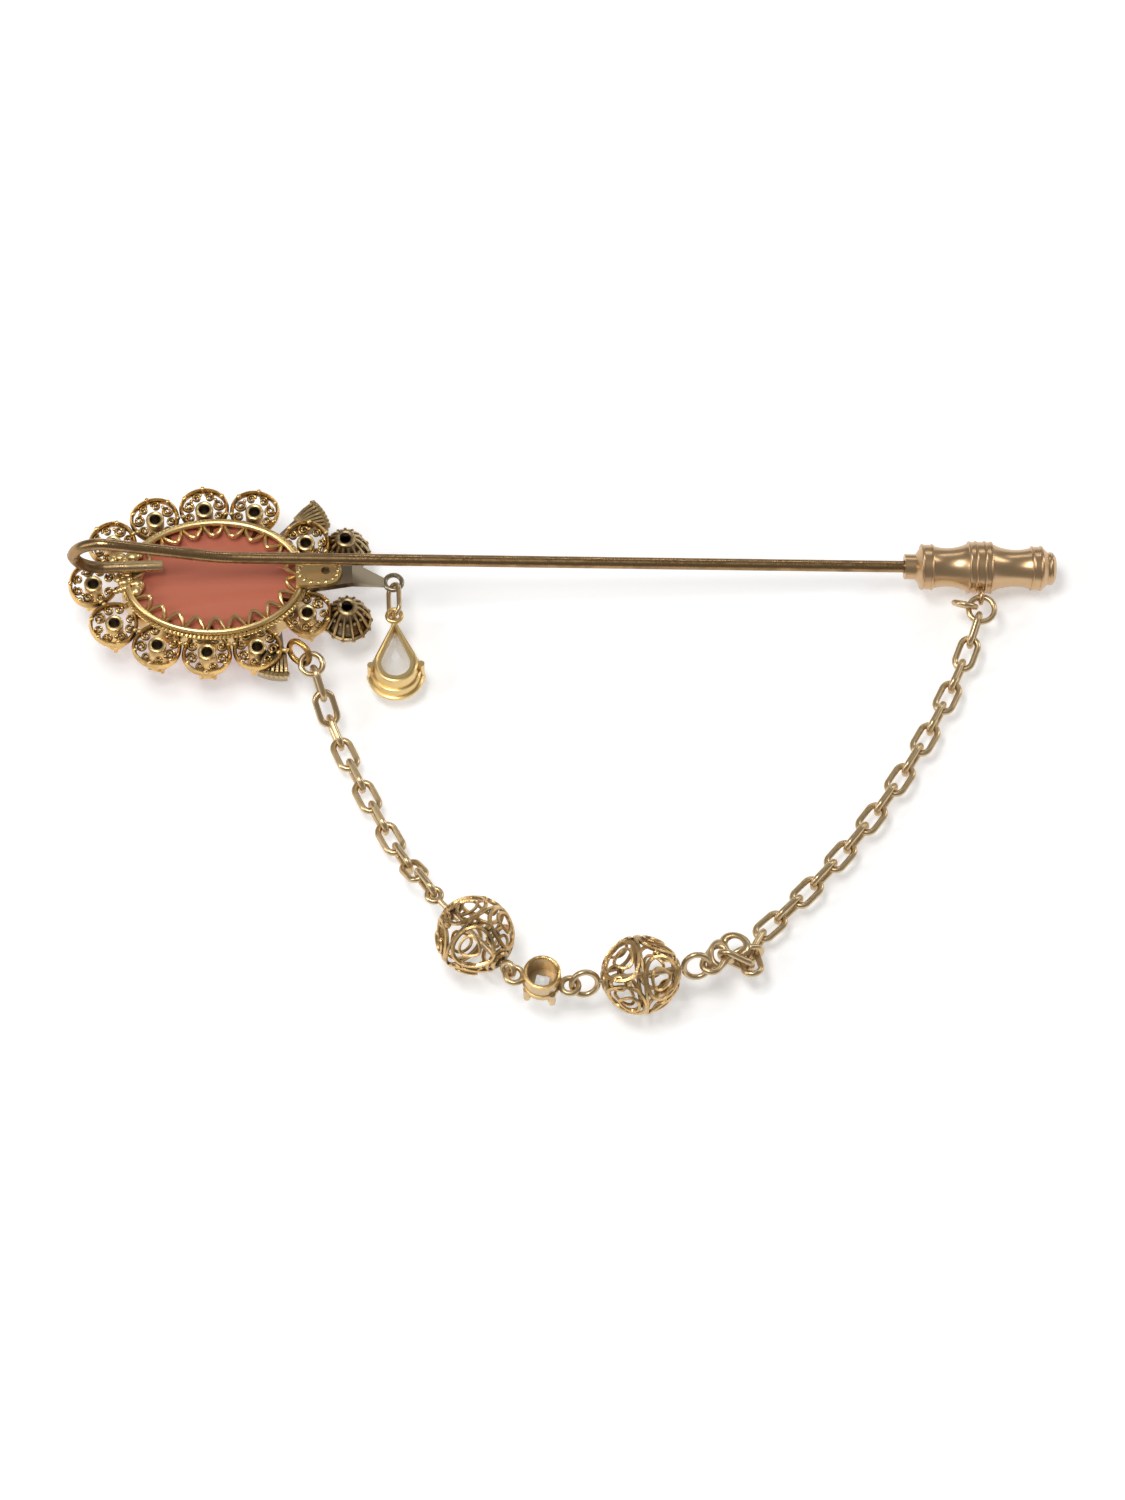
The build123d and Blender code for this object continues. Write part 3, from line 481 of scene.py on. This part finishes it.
def on_oval(long_axis, short_axis, angle):
    """Point on an oval and the way outward there, in degrees."""
    x, y = long_axis * math.cos(angle), short_axis * math.sin(angle)
    return x, y, math.degrees(math.atan2(y / short_axis ** 2, x / long_axis ** 2))


def even_angles(long_axis, short_axis, count, steps=720):
    """Angles on an oval that are the same distance apart along its edge."""
    lengths = [0.0]
    for i in range(steps):
        a, b = (2 * math.pi * k / steps for k in (i, i + 1))
        step = math.hypot(long_axis * (math.cos(b) - math.cos(a)),
                          short_axis * (math.sin(b) - math.sin(a)))
        lengths.append(lengths[-1] + step)
    angles, i = [], 0
    for k in range(count):
        while lengths[i] < lengths[-1] * k / count:
            i += 1
        angles.append(2 * math.pi * i / steps)
    return angles


class HATPIN_OT_finishes(bpy.types.Operator):
    """Make the finishes and put them on the solid parts"""

    bl_idname = "hatpin.finishes"
    bl_label = "Finishes"

    def execute(self, context):
        look = context.scene.hatpin_colours
        make_tarnish()
        make_casting()
        gold, old, copper, bronze = look.gold, look.old_gold, look.copper, look.bronze
        steel = (0.55, 0.55, 0.55)
        bead, pin = [c * 1.1 for c in old], [c * 0.9 for c in old]
        # name, metal, dark, painted edge highlight, blotch scale, blotches, painted recess shade,
        # polish, lump scale, depth in mm
        for finish in (
            ("bright_gold", gold, (0.15, 0.065, 0.015), (1.0, 0.74, 0.34),
             420.0, 0.5, 0.95, 0.13, 1300.0, 0.06),
            ("petal_gold", gold, (0.10, 0.048, 0.014), (1.0, 0.72, 0.32),
             300.0, 0.7, 1.0, 0.16, 1500.0, 0.05),
            ("antique_gold", old, (0.045, 0.032, 0.020), (0.86, 0.58, 0.30),
             380.0, 0.85, 0.95, 0.15, 1200.0, 0.05),
            ("bead_gold", bead, (0.022, 0.038, 0.036), (0.92, 0.62, 0.27),
             420.0, 0.85, 1.0, 0.17, 1500.0, 0.06),
            ("pin_gold", pin, (0.12, 0.075, 0.035), (0.88, 0.66, 0.36),
             260.0, 0.65, 0.4, 0.18, 900.0, 0.03),
            ("copper_gold", copper, (0.19, 0.12, 0.065), (0.95, 0.62, 0.36),
             280.0, 0.6, 0.6, 0.2, 700.0, 0.05),
            ("dark_bronze", bronze, (0.03, 0.027, 0.024), (0.55, 0.38, 0.19),
             500.0, 0.6, 0.8, 0.28, 1100.0, 0.06),
            ("rosette_bronze", bronze, (0.045, 0.035, 0.028), (0.70, 0.50, 0.24),
             700.0, 0.4, 0.7, 0.22, 1100.0, 0.05),
            ("grip_steel", steel, (0.2, 0.2, 0.2), (0.8, 0.8, 0.8),
             600.0, 0.3, 0.4, 0.3, 900.0, 0.02),
        ):
            metal(*finish)
        coral_stone(look.stone)
        crystal_glass()
        special = {
            "cabochon": "coral_stone", "chaton_crystals": "crystal", "rosette_crystals": "crystal",
            "drop_crystal": "crystal", "connector_crystal": "crystal", "cap_liner": "grip_steel",
            "rosette_cups": "rosette_bronze", "shell_cups": "dark_bronze", "pendant_arm": "dark_bronze",
            "cap_body": "copper_gold", "cap_eye": "copper_gold", "pin_wire": "pin_gold",
            "gallery_strip": "bright_gold", "bezel_wire": "bright_gold", "solder_plate": "bright_gold",
            "drop_setting": "bright_gold", "connector_setting": "antique_gold",
            "petal_frames": "petal_gold", "petal_scrolls": "petal_gold", "chaton_cups": "petal_gold",
            "chain_eye": "petal_gold",
        }
        for name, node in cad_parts.items():
            node.data.materials.clear()
            node.data.materials.append(bpy.data.materials[special.get(name, "antique_gold")])
        nothing_selected()
        return {"FINISHED"}


class HATPIN_OT_scalloped_strip(bpy.types.Operator):
    """Make the strip round the stone with its pointed scallops"""

    bl_idname = "hatpin.scalloped_strip"
    bl_label = "Scalloped strip"

    def execute(self, context):
        sizes = context.scene.hatpin_sizes
        middle, back = head_middle(), stone_back()
        rx, ry = STONE_RADII
        thick = sizes.scallop_wire / MM / 2
        points = []
        # one wavy wire all the way round, with pointed tips over the stone
        angles = even_angles(rx, ry, sizes.scallops * SCALLOP_STEPS)
        for i, angle in enumerate(angles):
            share = (i % SCALLOP_STEPS) / SCALLOP_STEPS
            reach = math.sin(math.pi * share) ** 0.8
            x, y, out = on_oval(rx, ry, angle)
            depth = SCALLOP_ROOT + (sizes.scallop_depth / MM - SCALLOP_ROOT) * reach
            lift = 0.42 + 0.45 * reach
            points.append((middle.x + x - depth * math.cos(math.radians(out)),
                           middle.y + y - depth * math.sin(math.radians(out)), back + lift))
        wave = wire(points, thick, closed=True, height=1.5)
        # upright wall of the setting
        nothing_selected()
        bpy.ops.mesh.primitive_circle_add(vertices=96, radius=MM)
        wall = place(bpy.context.object, (middle.x, middle.y, back - 1.9),
                     size=(rx + 0.06, ry + 0.06, 1))
        use_only(wall)
        bpy.ops.object.mode_set(mode="EDIT")
        bpy.ops.mesh.select_all(action="SELECT")
        bpy.ops.mesh.extrude_region_move(TRANSFORM_OT_translate={"value": (0, 0, SETTING_HEIGHT * MM)})
        bpy.ops.mesh.select_all(action="SELECT")
        bpy.ops.mesh.normals_make_consistent(inside=False)
        bpy.ops.object.mode_set(mode="OBJECT")
        shell = wall.modifiers.new("wall", "SOLIDIFY")
        shell.thickness = SETTING_WALL * MM
        shell.offset = 1.0
        bpy.ops.object.modifier_apply(modifier="wall")
        # twisted-wire beading on the bezel
        grain = ball(0.26, (0, 0, 0), fine=1)
        spots = []
        for angle in even_angles(*GRAIN_RADII, GRAINS):
            x, y, out = on_oval(*GRAIN_RADII, angle)
            spots.append((middle.x + x, middle.y + y, back + 0.42, out))
        obj = smooth(joined([wave, wall, repeated(grain, spots)]))
        finished(obj, "scalloped_strip", "head", "bright_gold", ("gallery_strip",))
        return {"FINISHED"}


class HATPIN_OT_petals(bpy.types.Operator):
    """Make the ribbon petals with their curled wires"""

    bl_idname = "hatpin.petals"
    bl_label = "Filigree petals"

    def execute(self, context):
        sizes = context.scene.hatpin_sizes
        middle, back = head_middle(), stone_back()
        ribbon = sizes.petal_ribbon / MM / 2
        curl = sizes.scroll_wire / MM / 2
        outline = []
        long_radius, wide_radius = PETAL_RADII
        for step in range(PETAL_STEPS + 1):
            angle = math.radians(-162 + 324 * step / PETAL_STEPS)
            x = long_radius * math.cos(angle)
            y = wide_radius * math.sin(angle) * (1.0 + 0.10 * math.cos(angle))
            outline.append((x, y, 0))
        outline = [(-2.9, -0.45, 0)] + outline + [(-2.9, 0.45, 0)]
        parts = [wire(outline, ribbon, height=2.5)]
        for hand in (1, -1):
            for x, y, begin, turns, outer, inner, steps, way in PETAL_CURLS:
                line = curled((x, hand * y), begin * hand, turns, outer, inner, steps, way * hand)
                parts.append(wire(line, curl, height=1.8))
            parts.append(ball(0.2, (1.02, hand * 1.22, 0.3)))
        for angle in (0, 55, -55, 110, -110):
            x = long_radius * math.cos(math.radians(angle))
            y = wide_radius * math.sin(math.radians(angle))
            parts.append(ball(0.27, (x, y, 0.45)))
        petal = joined(parts)
        places = [(middle.x + x, middle.y + y, back - 0.1, turn) for x, y, turn in PETALS]
        obj = smooth(repeated(petal, places))
        finished(obj, "petal_ribbons", "head", "petal_gold",
                 ("petal_frames", "petal_scrolls"))
        # a lip round the back of each little tube
        rims = []
        for x, y, _ in PETALS:
            rims.append(ring(0.74, 0.2, (middle.x + x, middle.y + y, back + 0.12), fine=(20, 8)))
        finished(smooth(joined(rims)), "chaton_rims", "head", "bright_gold")
        return {"FINISHED"}


class HATPIN_OT_cups(bpy.types.Operator):
    """Make the ribs and grains of the rosettes and shells"""

    bl_idname = "hatpin.cups"
    bl_label = "Rosettes and shells"

    def execute(self, context):
        sizes = context.scene.hatpin_sizes
        middle = head_middle()
        rib = sizes.rib_wire / MM / 2
        parts = []
        for side in (1, -1):
            x0, y0 = middle.x + ROSETTE_PLACE[0], middle.y + side * ROSETTE_PLACE[1]
            top = millimetres(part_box("rosette_cups")[1]).z
            for i in range(ROSETTE_RIBS):
                angle = 2 * math.pi * i / ROSETTE_RIBS
                line = []
                for radius, drop in ((0.95, 0.35), (1.3, 0.75), (1.75, 1.5), (2.1, 2.4), (2.3, 3.1)):
                    x, y = x0 + radius * math.cos(angle), y0 + radius * math.sin(angle)
                    line.append((x, y, top - drop))
                parts.append(wire(line, rib, sides=1))
                tip = line[-1]
                parts.append(ball(0.3, tip, fine=1))
                half = angle + math.pi / ROSETTE_RIBS
                x, y = x0 + 1.62 * math.cos(half), y0 + 1.62 * math.sin(half)
                parts.append(ball(0.2, (x, y, top - 1.15), fine=1))
            parts.append(ring(2.2, 0.22, (x0, y0, top - 3.05), fine=(36, 8)))
            parts.append(ring(0.78, 0.24, (x0, y0, top - 0.2), fine=(24, 8)))
        finished(smooth(joined(parts)), "rosette_ribs", "head", "rosette_bronze")
        fans = []
        top = millimetres(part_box("shell_cups")[1]).z
        inner, outer = SHELL_REACH
        for side, heading in SHELL_HEADINGS:
            x0, y0 = middle.x + SHELL_PLACE[0], middle.y + side * SHELL_PLACE[1]
            rim = []
            for i in range(SHELL_RIBS):
                angle = math.radians(heading + SHELL_SPREAD * (i / (SHELL_RIBS - 1) - 0.5))
                far = (x0 + outer * math.cos(angle), y0 + outer * math.sin(angle))
                near = (x0 + inner * math.cos(angle), y0 + inner * math.sin(angle))
                crown = ((near[0] + far[0]) / 2, (near[1] + far[1]) / 2, top + 0.22)
                line = [(*near, top + 0.05), crown, (*far, top - 0.05)]
                fans.append(wire(line, 1.6 * rib, sides=1))
                fans.append(ball(0.42, (*far, top - 0.1), fine=1))
                rim.append((*far, top - 0.55))
            fans.append(wire(rim, 0.28))
        finished(smooth(joined(fans)), "shell_ribs", "head", "rosette_bronze")
        return {"FINISHED"}


class HATPIN_OT_solder(bpy.types.Operator):
    """Make the solder beads round the pin's leg and on the plate"""

    bl_idname = "hatpin.solder"
    bl_label = "Solder"

    def execute(self, context):
        chance = random.Random(11)
        middle = head_middle()
        bezel_top = millimetres(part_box("bezel_wire")[1]).z
        parts = []
        for i in range(26):
            x = middle.x - 9.3 + chance.uniform(-0.9, 1.9)
            y = middle.y + 1.0 + chance.uniform(-2.2, 1.9)
            z = bezel_top - chance.uniform(0.05, 0.75)
            size = chance.uniform(0.25, 0.55)
            flat = (chance.uniform(0.8, 1.5), chance.uniform(0.8, 1.4), chance.uniform(0.5, 0.9))
            parts.append(ball(size, (x, y, z), flat))
        lo, hi = (millimetres(c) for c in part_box("solder_plate"))
        for i in range(16):
            angle = 2 * math.pi * i / 16
            x = (lo.x + hi.x) / 2 + 2.0 * math.cos(angle)
            y = (lo.y + hi.y) / 2 + 1.35 * math.sin(angle)
            parts.append(ball(chance.uniform(0.22, 0.34), (x, y, hi.z - 0.05), (1, 1, 0.6)))
        finished(smooth(joined(parts)), "solder_beads", "head", "bright_gold")
        return {"FINISHED"}


class HATPIN_OT_beads(bpy.types.Operator):
    """Make the two openwork beads of teardrop cells"""

    bl_idname = "hatpin.beads"
    bl_label = "Filigree beads"

    def cell(self, radius, tip, base, half_width, wire_radius, spin, side):
        """A closed teardrop wire on the ball, its point towards one end of the axis."""
        points = []
        for step in range(36):
            t = 2 * math.pi * step / 36
            share = (1 - math.cos(t)) / 2
            latitude = math.radians(tip + (base - tip) * share)
            wide = half_width * math.sin(t) * (0.45 + 0.75 * share)
            across = math.radians(spin) + math.radians(wide) / max(math.cos(latitude), 0.35)
            level = radius * math.cos(latitude)
            points.append((side * radius * math.sin(latitude),
                           level * math.cos(across), level * math.sin(across)))
        return wire(points, wire_radius, closed=True, sides=1)

    def execute(self, context):
        sizes = context.scene.hatpin_sizes
        strand = sizes.bead_wire / MM / 2
        cells = sizes.cells
        for bead, heading in BEAD_HEADINGS.items():
            lo, hi = (millimetres(c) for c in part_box(bead + "_shell"))
            middle = (lo + hi) / 2
            radius = (hi.z - lo.z) / 2 - strand
            wide = 180.0 / cells
            parts = []
            for side in (1, -1):
                for i in range(cells):
                    spin = 360.0 * (i + (0.5 if side < 0 else 0.0)) / cells
                    parts.append(self.cell(radius, 68, 2, wide * 0.86, strand, spin, side))
                    parts.append(self.cell(radius, 44, 12, wide * 0.42, strand * 0.75, spin, side))
                    parts.append(self.cell(radius, 58, 30, wide * 0.26, strand * 0.7, spin + wide, side))
                    angle = math.radians(spin + wide)
                    low = math.radians(24)
                    parts.append(ball(0.36, (side * radius * math.sin(low),
                                             radius * math.cos(low) * math.cos(angle),
                                             radius * math.cos(low) * math.sin(angle)), fine=1))
                parts.append(ring(0.85, 0.3, (side * (radius - 0.15), 0, 0), (0, 90, 0), fine=(24, 8)))
                parts.append(ring(1.45, 0.2, (side * (radius - 0.34), 0, 0), (0, 90, 0), fine=(28, 8)))
            parts.append(ring(radius, strand * 0.8, (0, 0, 0), (0, 90, 0), fine=(64, 8)))
            obj = joined(parts)
            place(obj, (0, 0, 0), (38, 0, 0))
            obj = smooth(place(obj, middle, (0, 0, heading)))
            finished(obj, bead + "_filigree", bead, "bead_gold", (bead + "_shell",))
        return {"FINISHED"}


class HATPIN_OT_knot(bpy.types.Operator):
    """Make the extra links of the knotted clump of chain"""

    bl_idname = "hatpin.knot"
    bl_label = "Knotted links"

    def execute(self, context):
        lo, hi = (millimetres(c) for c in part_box("knot_links"))
        middle = (lo + hi) / 2
        parts = []
        for offset, turn in KNOT_LINKS:
            link = ring(0.95, 0.32, size=(1.6, 1, 1), fine=(28, 10))
            parts.append(place(link, middle + Vector(offset), turn))
        finished(smooth(joined(parts)), "knot_more_links", "bead_2", "antique_gold")
        return {"FINISHED"}


class HATPIN_OT_cap(bpy.types.Operator):
    """Make the turned rings of the cap"""

    bl_idname = "hatpin.cap"
    bl_label = "Cap rings"

    def execute(self, context):
        lo, hi = (millimetres(c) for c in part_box("cap_liner"))
        slope = math.radians(CAP_SLOPE)
        along = Vector((math.cos(slope), 0, -math.sin(slope)))
        middle = (lo + hi) / 2
        mouth = middle - along * CAP_LINER_MIDDLE
        parts = []
        for far, radius, thick in CAP_RINGS:
            spot = mouth + along * far
            parts.append(ring(radius, thick, spot, (0, 90 + CAP_SLOPE, 0), fine=(48, 8)))
        finished(smooth(joined(parts)), "cap_rings", "cap", "copper_gold")
        return {"FINISHED"}


class HATPIN_OT_drop(bpy.types.Operator):
    """Make the rims of the pear drop and of the connector cup"""

    bl_idname = "hatpin.drop"
    bl_label = "Drop and connector"

    def pear(self, middle, length, width, z, thick):
        r = width / 2
        low, far = -length / 2 + r, length - r
        touch = math.asin(r / far)
        points = [(middle.x, middle.y + length / 2, z)]
        for step in range(41):
            angle = touch + (-math.pi - 2 * touch) * step / 40
            x, y = middle.x + r * math.cos(angle), middle.y + low + r * math.sin(angle)
            points.append((x, y, z))
        return wire(points, thick, closed=True)

    def execute(self, context):
        lo, hi = (millimetres(c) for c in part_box("drop_crystal"))
        middle = (lo + hi) / 2
        base = lo.z + 0.7
        parts = [self.pear(middle, length, width, base + rise, thick)
                 for length, width, rise, thick in DROP_RIMS]
        for x, y in ((-2.5, -1.4), (2.5, -1.4), (0, 3.95)):
            parts.append(ball(0.5, (middle.x + x, middle.y + y, base - 0.35), (1, 1, 1.3)))
        finished(smooth(joined(parts)), "drop_rims", "drop", "bright_gold")
        lo, hi = (millimetres(c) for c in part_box("connector_setting"))
        cup = node_middle("connector_crystal")
        parts = [ring(1.66, 0.2, (cup.x, cup.y, hi.z - 0.05), fine=(36, 8)),
                 ring(1.78, 0.18, (cup.x, cup.y, lo.z + 1.7), fine=(36, 8))]
        for i in range(4):
            angle = math.radians(45 + 90 * i - 14)
            x, y = cup.x + 1.75 * math.cos(angle), cup.y + 1.75 * math.sin(angle)
            parts.append(ball(0.42, (x, y, lo.z + 0.4), (1, 1, 1.2)))
        finished(smooth(joined(parts)), "connector_rims", "connector", "petal_gold")
        return {"FINISHED"}


class HATPIN_OT_stage(bpy.types.Operator):
    """Make the floor, the soft lights and the camera"""

    bl_idname = "hatpin.stage"
    bl_label = "Stage"

    def soft_light(self, name, location, target, width, watts):
        lamp = bpy.data.lights.new(name, "AREA")
        lamp.shape = "RECTANGLE"
        lamp.size, lamp.size_y = width
        lamp.energy = watts
        obj = bpy.data.objects.new(name, lamp)
        bpy.context.scene.collection.objects.link(obj)
        obj.location = location
        obj.rotation_euler = (Vector(target) - Vector(location)).to_track_quat("-Z", "Y").to_euler()

    def execute(self, context):
        scene = context.scene
        nothing_selected()
        bpy.ops.mesh.primitive_plane_add(size=4.0, location=(0, 0, -0.8 * MM))
        floor = bake_place(context.object)
        floor.name = "pale_floor"
        floor.data.materials.append(plain_floor(scene.hatpin_colours.floor))
        self.soft_light("overhead_softbox", (-0.12, -0.04, 0.60), CAMERA_TARGET, (0.26, 0.16), 1.5)
        self.soft_light("left_softbox", (-0.50, -0.10, 0.35), CAMERA_TARGET, (0.10, 0.40), 1.0)
        self.soft_light("right_softbox", (0.48, 0.20, 0.30), CAMERA_TARGET, (0.08, 0.40), 0.6)
        self.soft_light("back_softbox", (0.10, 0.55, 0.42), CAMERA_TARGET, (0.60, 0.05), 0.5)
        world = bpy.data.worlds.new("studio")
        world.use_nodes = True
        scene.world = world
        world.node_tree.nodes["Background"].inputs["Color"].default_value = (1.0, 1.0, 1.0, 1.0)
        world.node_tree.nodes["Background"].inputs["Strength"].default_value = 0.22
        scene.view_settings.view_transform = "Standard"
        lens = bpy.data.cameras.new("camera")
        lens.lens = 240.0
        lens.sensor_width = 36.0
        lens.clip_start, lens.clip_end = 0.05, 20.0
        camera = bpy.data.objects.new("camera", lens)
        scene.collection.objects.link(camera)
        camera.location = Vector(CAMERA_TARGET) + CAMERA_BACK
        back = CAMERA_BACK.normalized()
        up = back.cross(CAMERA_RIGHT)
        camera.rotation_euler = Matrix((CAMERA_RIGHT, up, back)).transposed().to_euler()
        scene.camera = camera
        return {"FINISHED"}


class HATPIN_PT_panel(bpy.types.Panel):
    """Sizes, colours and pieces of the hat pin"""

    bl_idname = "HATPIN_PT_panel"
    bl_label = "Hat pin"
    bl_space_type = "VIEW_3D"
    bl_region_type = "UI"
    bl_category = "Hat pin"

    def draw(self, context):
        for group in (context.scene.hatpin_sizes, context.scene.hatpin_colours):
            for key in group.__annotations__:
                self.layout.prop(group, key)
        for operator in OPERATORS:
            self.layout.operator(operator.bl_idname)


OPERATORS = (
    HATPIN_OT_finishes,
    HATPIN_OT_scalloped_strip,
    HATPIN_OT_petals,
    HATPIN_OT_cups,
    HATPIN_OT_solder,
    HATPIN_OT_beads,
    HATPIN_OT_knot,
    HATPIN_OT_cap,
    HATPIN_OT_drop,
    HATPIN_OT_stage,
)
CLASSES = (HatPinSizes, HatPinColours, *OPERATORS, HATPIN_PT_panel)


def register():
    for cls in CLASSES:
        bpy.utils.register_class(cls)
    bpy.types.Scene.hatpin_sizes = bpy.props.PointerProperty(type=HatPinSizes)
    bpy.types.Scene.hatpin_colours = bpy.props.PointerProperty(type=HatPinColours)


def unregister():
    del bpy.types.Scene.hatpin_colours
    del bpy.types.Scene.hatpin_sizes
    for cls in reversed(CLASSES):
        bpy.utils.unregister_class(cls)


def main():
    register()
    for operator in OPERATORS:
        group, name = operator.bl_idname.split(".")
        getattr(getattr(bpy.ops, group), name)()


if __name__ == "__main__":
    main()
